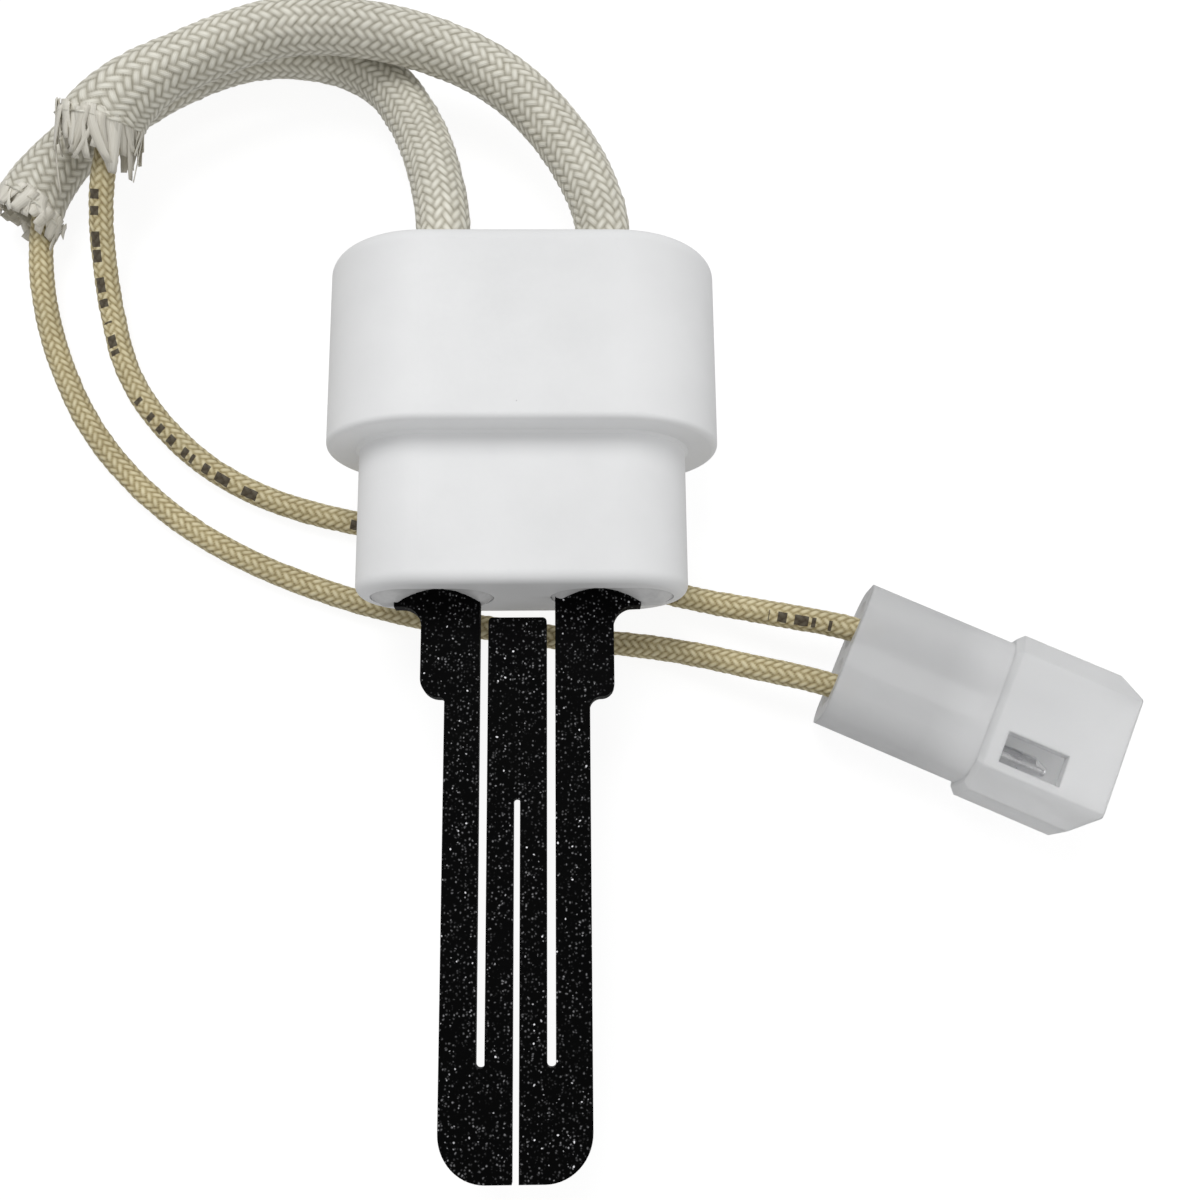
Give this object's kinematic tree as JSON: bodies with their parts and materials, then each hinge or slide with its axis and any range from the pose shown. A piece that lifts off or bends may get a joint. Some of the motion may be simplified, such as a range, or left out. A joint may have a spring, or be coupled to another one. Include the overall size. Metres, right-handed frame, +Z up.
{
  "type": "hot surface igniter",
  "caption": "Slotted silicon carbide element cemented in a stepped oval ceramic block, with braid sleeved leads that end in a translucent plug.",
  "frame": {"origin": "centre of the shoulder under the flange, where the block seats on its bracket", "axes": "-Y along the element, +Y out of the block with the leads, +X across the width of the block, +Z up from the flat back that it lies on"},
  "size_m": [0.1126, 0.1181, 0.0198],
  "materials": {
    "block_ceramic": "unglazed white",
    "silicon_carbide": "sintered, sparkling",
    "cement": "rough, set in place",
    "clip_steel": "plain",
    "plated_wire": "nickel plated strands",
    "lead_braid": "varnished glass braid",
    "sleeve_braid": "glass braid",
    "plug_nylon": "natural, translucent",
    "tinned_contact": "tin plated"
  },
  "bodies": {
    "root": {"ceramic_block": "block_ceramic", "heating_element": "silicon_carbide", "element_cement_left": "cement", "element_cement_right": "cement", "lead_cement_left": "cement", "lead_cement_right": "cement", "element_terminal_left": "clip_steel", "element_terminal_right": "clip_steel", "conductor_left": "plated_wire", "conductor_right": "plated_wire", "conductor_tip_left": "plated_wire", "conductor_tip_right": "plated_wire", "lead_left": "lead_braid", "lead_right": "lead_braid", "sleeve_left": "sleeve_braid", "sleeve_right": "sleeve_braid", "plug_housing": "plug_nylon", "contact_left": "tinned_contact", "contact_right": "tinned_contact"}
  },
  "joints": []
}
